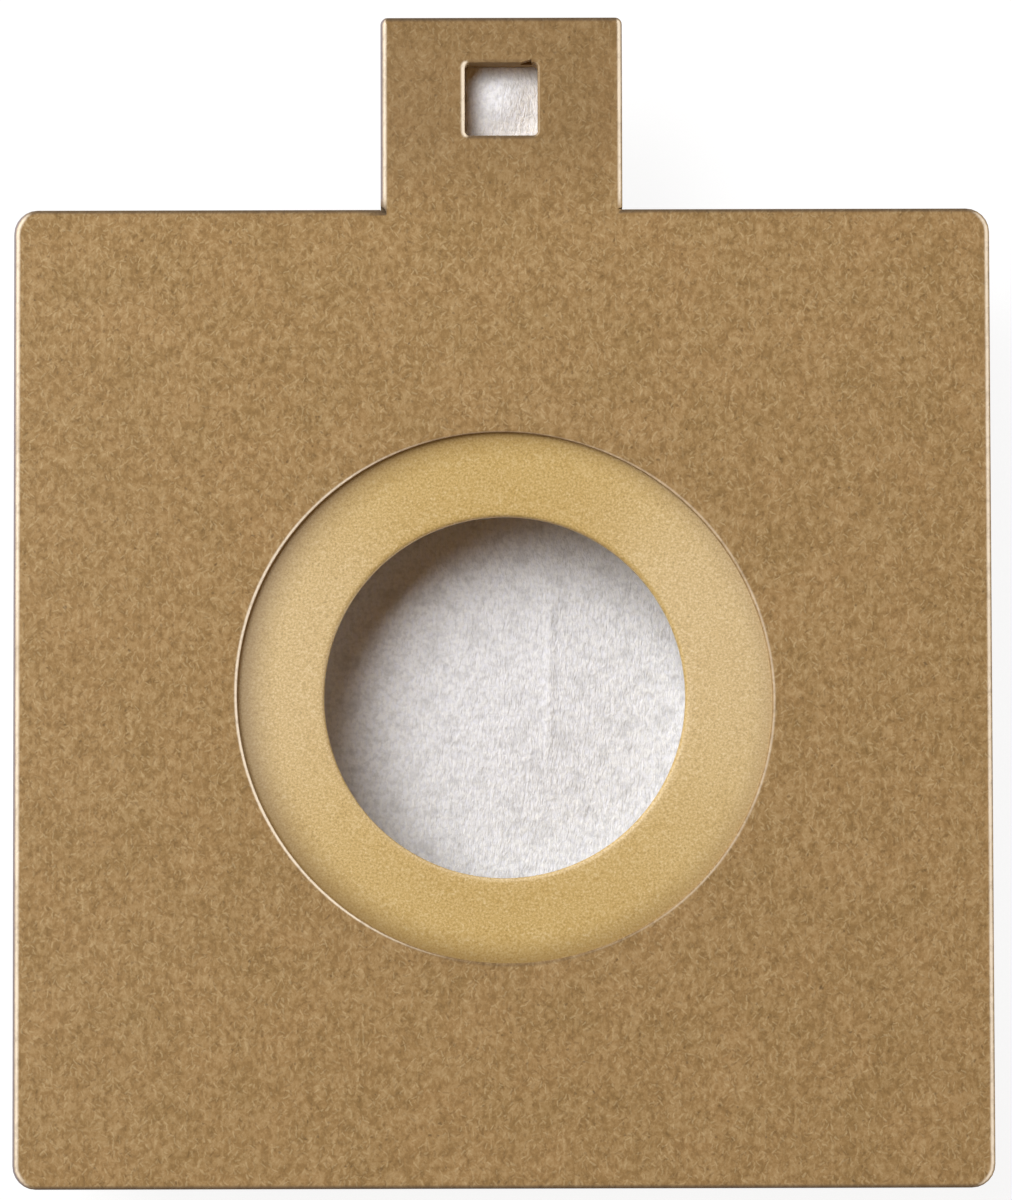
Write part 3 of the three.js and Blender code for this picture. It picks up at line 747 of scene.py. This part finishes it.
def filter_fleece():
    material, tree, shader = start_material("fleece_nonwoven", "#F0EFEE", 0.95, 1.45)
    shader.inputs["Sheen Weight"].default_value = 0.05
    shader.inputs["Sheen Roughness"].default_value = 0.6
    cloth = add_node(tree, "ShaderNodeAttribute", attribute_name="cloth_mm").outputs["Vector"]
    upright, leaning, crossing = (fibre_streaks(tree, cloth, lean) for lean in (0.08, 0.7, -0.9))
    clouds = add_node(tree, "ShaderNodeTexNoise", {"Scale": 1 / 2.2, "Detail": 6.0,
                                                   "Roughness": 0.66}, {"Vector": cloth},
                      noise_dimensions="2D")
    thin = add_node(tree, "ShaderNodeMapRange",
                    {"From Min": 0.52, "From Max": 0.3, "To Min": 0, "To Max": 1},
                    {"Value": clouds.outputs["Fac"]})
    base = add_node(tree, "ShaderNodeMix", {6: linear("#F5F7FF"), 7: linear("#FEFFFF")},
                    {0: upright}, data_type="RGBA").outputs[2]
    colour = tint(tree, base, "#FFFFFF", leaning, 0.45)
    colour = tint(tree, colour, "#FFFFFF", crossing, 0.4)
    colour = tint(tree, colour, "#C6C6C7", thin.outputs[0], 0.48)
    tufts = add_node(tree, "ShaderNodeTexNoise", {"Scale": 1 / 0.6, "Detail": 3.0,
                                                  "Roughness": 0.6},
                     {"Vector": cloth}, noise_dimensions="2D")
    hollows = add_node(tree, "ShaderNodeMapRange",
                       {"From Min": 0.56, "From Max": 0.3, "To Min": 0, "To Max": 1},
                       {"Value": tufts.outputs["Fac"]})
    colour = tint(tree, colour, "#C4C4C4", hollows.outputs[0], 0.42)
    tree.links.new(colour, shader.inputs["Base Color"])
    first = add_node(tree, "ShaderNodeMath", links={0: upright, 1: leaning}, operation="ADD")
    felt = add_node(tree, "ShaderNodeMath", links={0: first.outputs[0], 1: crossing},
                    operation="ADD")
    bump = add_node(tree, "ShaderNodeBump", {"Strength": 0.45, "Distance": 0.06 * MM},
                    {"Height": felt.outputs[0]})
    tree.links.new(bump.outputs[0], shader.inputs["Normal"])
    return material


fleece_material = filter_fleece()

# %% [markdown]
# ## Fleece backing
# A sheet of the same fleece is glued behind the collar, tab included, and the round throat is
# cut out of it. It is a grid, cut along the tab's lines, with the outside thrown away and the
# corners drawn to their arcs. Where the tab's hole leaves it free it swells a little.

# %% Fleece backing
BACKING_INSET = 0.3
FLEECE = backing_high.z - backing_low.z


def cut_grid_line(bm, point, normal):
    bmesh.ops.bisect_plane(bm, geom=bm.verts[:] + bm.edges[:] + bm.faces[:], dist=1e-5,
                           plane_co=point, plane_no=normal)


def draw_to_corner(vert, x, y, radius):
    """Draws a vertex that lies outside a rounded corner in to its arc."""
    centre = Vector((x - math.copysign(radius, x), y + radius * (-1 if y > AXIS_Y else 1)))
    out = Vector((vert.co.x, vert.co.y)) - centre
    if out.x * x > 0 and out.y * (y - AXIS_Y) > 0 and out.length > radius:
        place = centre + out.normalized() * radius
        vert.co.x, vert.co.y = place


def open_throat(bm, faces, radius):
    """Opens a round hole on the inlet's axis and draws the cut edge to a circle."""
    centre = Vector((0, AXIS_Y))
    doomed = [f for f in faces if (f.calc_center_median().xy - centre).length < radius]
    bmesh.ops.delete(bm, geom=doomed, context="FACES")
    for vert in bm.verts:
        out = vert.co.xy - centre
        if vert.is_boundary and abs(out.length - radius) < 3.2:
            place = centre + out.normalized() * radius
            vert.co.x, vert.co.y = place


bm = bmesh.new()
cloth_mm = bm.verts.layers.float_vector.new("cloth_mm")
half = PLATE / 2 - BACKING_INSET
tab = TAB_WIDTH / 2 - BACKING_INSET
low_y, shelf_y, top_y = backing_low.y, PLATE_TOP - BACKING_INSET, backing_high.y
bmesh.ops.create_grid(bm, x_segments=90, y_segments=108, size=1,
                      matrix=Matrix.Translation((0, (low_y + top_y) / 2, 0))
                      @ Matrix.Diagonal((half, (top_y - low_y) / 2, 1, 1)))
cut_grid_line(bm, (tab, 0, 0), (1, 0, 0))
cut_grid_line(bm, (-tab, 0, 0), (1, 0, 0))
cut_grid_line(bm, (0, shelf_y, 0), (0, 1, 0))
outside = [f for f in bm.faces if f.calc_center_median().y > shelf_y
           and abs(f.calc_center_median().x) > tab]
bmesh.ops.delete(bm, geom=outside, context="FACES")
open_throat(bm, bm.faces[:], THROAT_RADIUS)
for vert in bm.verts:
    for side in (-1, 1):
        draw_to_corner(vert, side * half, low_y, PLATE_CORNER)
        draw_to_corner(vert, side * tab, top_y, TAB_CORNER)
        if vert.co.y > shelf_y - PLATE_CORNER and abs(vert.co.x) > tab + 1:
            draw_to_corner(vert, side * half, shelf_y, PLATE_CORNER)
    away = max(abs(vert.co.x), abs(vert.co.y - HOLE_Y)) / (HOLE_SIZE / 2)
    swell = 1.1 * (1 - smooth_step(0.1, 0.97, away))
    vert[cloth_mm] = (vert.co.x, vert.co.y, 0)
    vert.co.z = (backing_low.z + backing_high.z) / 2 + swell
backing = make_piece("fleece_backing_sheet", bm, fleece_material, "fleece_backing")
wall = backing.modifiers.new("thickness", "SOLIDIFY")
wall.thickness = FLEECE * MM
wall.offset = 0

# %% [markdown]
# ## Folded bag
# The bag is one fleece tube with a tucked gusset down each side, pressed flat at both ends and
# folded in three. Cloth could be folded by simulation, but a tight factory fold comes out more
# surely when it is built the way it was made: a loop of cloth, the tube's section, is extruded
# step by step along the folded path, as a hose is drawn round its bends. Then the whole stack is
# loosened: its sides wander, its folds are uneven and its corners lift a little.

# %% Tube section
BAG_HALF = 48.0
GUSSET = 26.0
PLY, GAP = 0.6, 0.25
PRESSED_PLY, PRESSED_GAP = 0.35, 0.1
FLAT_HEIGHT = 4 * PLY + 3 * GAP
PRESSED_HEIGHT = 4 * PRESSED_PLY + 3 * PRESSED_GAP
POCKET_HEIGHT = 8.0
PANEL_GAP = 0.3
CREASE_X = 4.8
WELD_LENGTH = 7.0
# How far each end or fold stays inside the plate: top end, first fold, second fold, tail end.
TOP_INSIDE, FOLD_INSIDE, TURN_INSIDE, TAIL_INSIDE = 3.0, 2.0, 5.0, 12.0
THROAT_RUN, TAIL_RUN = 14.0, 6.0


def tube_section(height, ply, gap, sink):
    """Half of the tube's middle line, from the front wall's centre round to the back wall's."""
    turn, wall = (ply + gap) / 2, ply / 2
    side, tip = BAG_HALF - wall - turn, BAG_HALF - GUSSET + wall + turn
    fine = [CREASE_X + step for step in (-1.6, -1.0, -0.6, -0.3, 0, 0.3, 0.6, 1.0, 1.6)]
    columns = [0.0, 1.6] + fine + [8.4, 10.6] + [10.6 + 2.2 * i for i in range(1, 15)]
    columns += [side - 5.0, side - 2.8, side - 1.2]

    def run(start, end, steps):
        return [tuple(a + (b - a) * i / steps for a, b in zip(start, end)) for i in range(steps)]

    def arc(x, depth, sweep):
        angles = [-math.pi / 2 + sweep * i / 6 for i in range(7)]
        return [(x + turn * math.cos(a), depth + turn * math.sin(a)) for a in angles]

    front = [(x, wall) for x in columns]
    first = arc(side, wall + turn, math.pi)
    inner = arc(tip, height / 2, -math.pi)
    last = arc(side, height - wall - turn, math.pi)
    back = [(x, height - wall - sink * (1 - x / side)) for x in reversed(columns)]
    return (front + first + run(first[-1], inner[0], 12)[1:] + inner
            + run(inner[-1], last[0], 12)[1:] + last + back)


def tube_loop(height, ply, gap, sink):
    """The whole middle line: the half and its mirror image."""
    right = tube_section(height, ply, gap, sink)
    left = [(-x, depth) for x, depth in reversed(right)]
    return right + left[1:-1]


# %% Folded path
def folded_path():
    """Stations along the folded tube: the front and back wall as (y, z), and how loose it is."""
    stations = []

    def add(front, back, loose=1.0):
        stations.append((Vector(front), Vector(back), loose))

    def straight(front_z, back_z, start, end, step=3.0):
        count = max(round(abs(end - start) / step), 1)
        for i in range(1, count):
            y = start + (end - start) * i / count
            add((y, front_z), (y, back_z))

    top = bag_high.z
    inner = PANEL_GAP / 2
    plate_low, plate_high = front_low.y, PLATE_TOP
    weld_y = plate_high - TOP_INSIDE - WELD_LENGTH
    for i in range(11):
        share = i / 10
        y = weld_y - THROAT_RUN * share
        height = PRESSED_HEIGHT + (POCKET_HEIGHT - PRESSED_HEIGHT) * smooth_step(0, 1, share)
        add((y, top), (y, top - height), share)
    reach = (POCKET_HEIGHT + FLAT_HEIGHT + PANEL_GAP) / 2
    fold_y, fold_z = plate_low + FOLD_INSIDE + reach, top - POCKET_HEIGHT - inner
    straight(top, top - POCKET_HEIGHT, weld_y - THROAT_RUN, fold_y)
    for i in range(17):
        angle = math.pi * i / 16
        outer = inner + POCKET_HEIGHT + (FLAT_HEIGHT - POCKET_HEIGHT) * (1 - math.cos(angle)) / 2
        add((fold_y - outer * math.sin(angle), fold_z + outer * math.cos(angle)),
            (fold_y - inner * math.sin(angle), fold_z + inner * math.cos(angle)))
    second_back = fold_z - inner
    second_front = second_back - FLAT_HEIGHT
    turn_outer = inner + FLAT_HEIGHT
    turn_y, turn_z = plate_high - TURN_INSIDE - turn_outer, second_front - inner
    straight(second_front, second_back, fold_y, turn_y)
    for i in range(13):
        angle = math.pi * i / 12
        add((turn_y + inner * math.sin(angle), turn_z + inner * math.cos(angle)),
            (turn_y + turn_outer * math.sin(angle), turn_z + turn_outer * math.cos(angle)))
    tail_y = plate_low + TAIL_INSIDE + WELD_LENGTH
    straight(turn_z - inner, 0.0, turn_y, tail_y + TAIL_RUN)
    lift = (FLAT_HEIGHT - PRESSED_HEIGHT) / 2
    for i in range(4):
        share = i / 3
        y = tail_y + TAIL_RUN * (1 - share)
        add((y, turn_z - inner - lift * share), (y, lift * share), 1 - share)
    return stations, weld_y, tail_y, lift


stations, top_weld_y, tail_weld_y, tail_lift = folded_path()
print("stations along the tube:", len(stations))

# %% Extruding the tube
def place_loop(verts, station, along, layers):
    front, back, loose = station
    down = back - front
    height = down.length
    down.normalize()
    ply = PRESSED_PLY + (PLY - PRESSED_PLY) * loose
    gap = PRESSED_GAP + (GAP - PRESSED_GAP) * loose
    loop = tube_loop(height, ply, gap, 0.25 * loose)
    around, last = 0.0, loop[0]
    for vert in sorted(verts, key=lambda v: v[layers["number"]]):
        x, depth = loop[vert[layers["number"]]]
        around += math.dist((x, depth), last)
        last = (x, depth)
        vert.co = (x, front.x + down.x * depth, front.y + down.y * depth)
        vert[layers["cloth"]] = (around, along, 0)
    return around


bm = bmesh.new()
layers = {"number": bm.verts.layers.int.new("number"),
          "cloth": bm.verts.layers.float_vector.new("cloth_mm")}
count = len(tube_loop(FLAT_HEIGHT, PLY, GAP, 0))
verts = []
for number in range(count):
    vert = bm.verts.new((0, 0, 0))
    vert[layers["number"]] = number
    verts.append(vert)
edges = [bm.edges.new((vert, verts[i - 1])) for i, vert in enumerate(verts)]
along = 0.0
girth = place_loop(verts, stations[0], along, layers)
for before, station in zip(stations, stations[1:]):
    drawn = bmesh.ops.extrude_edge_only(bm, edges=edges)["geom"]
    verts = [item for item in drawn if isinstance(item, bmesh.types.BMVert)]
    edges = [item for item in drawn if isinstance(item, bmesh.types.BMEdge)]
    middles = [(pair[0] + pair[1]) / 2 for pair in (before, station)]
    along += (middles[1] - middles[0]).length
    girth = max(girth, place_loop(verts, station, along, layers))
bmesh.ops.recalc_face_normals(bm, faces=bm.faces[:])
print("tube girth", round(girth, 1), "mm, length", round(along, 1), "mm")

# %% [markdown]
# ## Loosening the stack
# Every layer at one place on the plan moves by the same amount, so the layers never pass through
# each other. The lift is taken up inside the open first panel. The sides move in and out slowly
# along the cloth, which the folds then carry from panel to panel.

# %% Loose sides, lifted corners and a crease
def ripple(x, y, seed):
    """Smooth noise from -1 to 1."""
    return noise.noise(Vector((x, y, seed)))


bm.verts.ensure_lookup_table()
pocket_floor = bag_high.z - POCKET_HEIGHT
open_faces = [f for f in bm.faces if f.calc_center_median().z > bag_high.z - 1.2 * PLY]
open_throat(bm, open_faces, THROAT_RADIUS)
for vert in bm.verts:
    x, y, z = vert.co
    cloth = vert[layers["cloth"]]
    side = smooth_step(0.35, 1.0, abs(x) / BAG_HALF)
    sign = math.copysign(1, x)
    wander = 0.55 + 0.55 * ripple(cloth[1] / 26, sign * 9.0, 4.2)
    wander += 0.22 * ripple(cloth[1] / 8, sign * 5.0, 8.8)
    vert.co.x = x - sign * side * max(wander, 0)
    fold = smooth_step(0.72, 1.0, abs(y - AXIS_Y + 1.0) / 47)
    pull = 0.5 + 0.5 * ripple(x / 22, math.copysign(3.0, y), 2.6)
    vert.co.y = y - math.copysign(fold * max(pull, 0), y - AXIS_Y)
    far = max(abs(x) / 48, abs(y - AXIS_Y) / 48)
    loft = smooth_step(0.45, 1.0, far) * (0.45 + 0.55 * ripple(x / 24, y / 28, 1.3))
    small = 0.12 * ripple(x / 7, y / 9, 6.1) + 0.1
    lift = max(loft, 0) + max(small, 0)
    under = min(max((bag_high.z - z) / POCKET_HEIGHT, 0), 1)
    vert.co.z = z + lift * under
    floor_here = abs(z - (pocket_floor + PLY / 2)) < 0.5
    if floor_here and abs(x) < 22:
        reach = min(math.hypot(x, y - AXIS_Y) / 22, 1)
        vert.co.z += 1.2 * (1 - reach ** 2) ** 2
        ridge = math.exp(-((x - CREASE_X - 0.012 * (y - AXIS_Y)) / 0.42) ** 2)
        vert.co.z += 0.13 * ridge * smooth_step(10, 4, abs(y - AXIS_Y - 1.5))
bag = make_piece("fleece_folded_bag", bm, fleece_material, "folded_bag", sharp=80)
wall = bag.modifiers.new("thickness", "SOLIDIFY")
wall.thickness = 0.55 * MM
wall.offset = 0

# %% [markdown]
# ## Welds
# Each end of the tube is pressed between hot ribbed bars, which melt the fleece into a stiff,
# thinner strip with a fine grid of dimples. A strip is a grid whose points sink at the dimples.

# %% Weld strips
WELD = 1.0


def weld_strip(name, y, z):
    """A pressed strip across the whole tube, with its middle at y and z."""
    bm = bmesh.new()
    cloth_mm = bm.verts.layers.float_vector.new("cloth_mm")
    bmesh.ops.create_grid(bm, x_segments=240, y_segments=18, size=1,
                          matrix=Matrix.Translation((0, y, z))
                          @ Matrix.Diagonal((BAG_HALF - 0.9, WELD_LENGTH / 2, 1, 1)))
    for vert in bm.verts:
        x, along = vert.co.x, vert.co.y - y
        dimple = math.cos(2 * math.pi * x / 1.6) * math.cos(2 * math.pi * along / 1.56)
        edge = smooth_step(0.86, 1.0, abs(along) / (WELD_LENGTH / 2))
        vert[cloth_mm] = (x, vert.co.y, 0)
        vert.co.z = z - 0.09 * max(dimple, 0) * (1 - edge) + 0.1 * ripple(x / 20, y, 3.3)
        vert.co.y += 0.25 * ripple(x / 14, math.copysign(2, along), 7.7) * edge
    strip = make_piece(name, bm, fleece_material, sharp=80)
    wall = strip.modifiers.new("thickness", "SOLIDIFY")
    wall.thickness = WELD * MM
    wall.offset = 0
    return strip


top_weld = weld_strip("fleece_top_weld", top_weld_y + 3.2, bag_high.z - 0.85)
tail_weld = weld_strip("fleece_tail_weld", tail_weld_y - 3.2, tail_lift + 0.85 + 0.6)
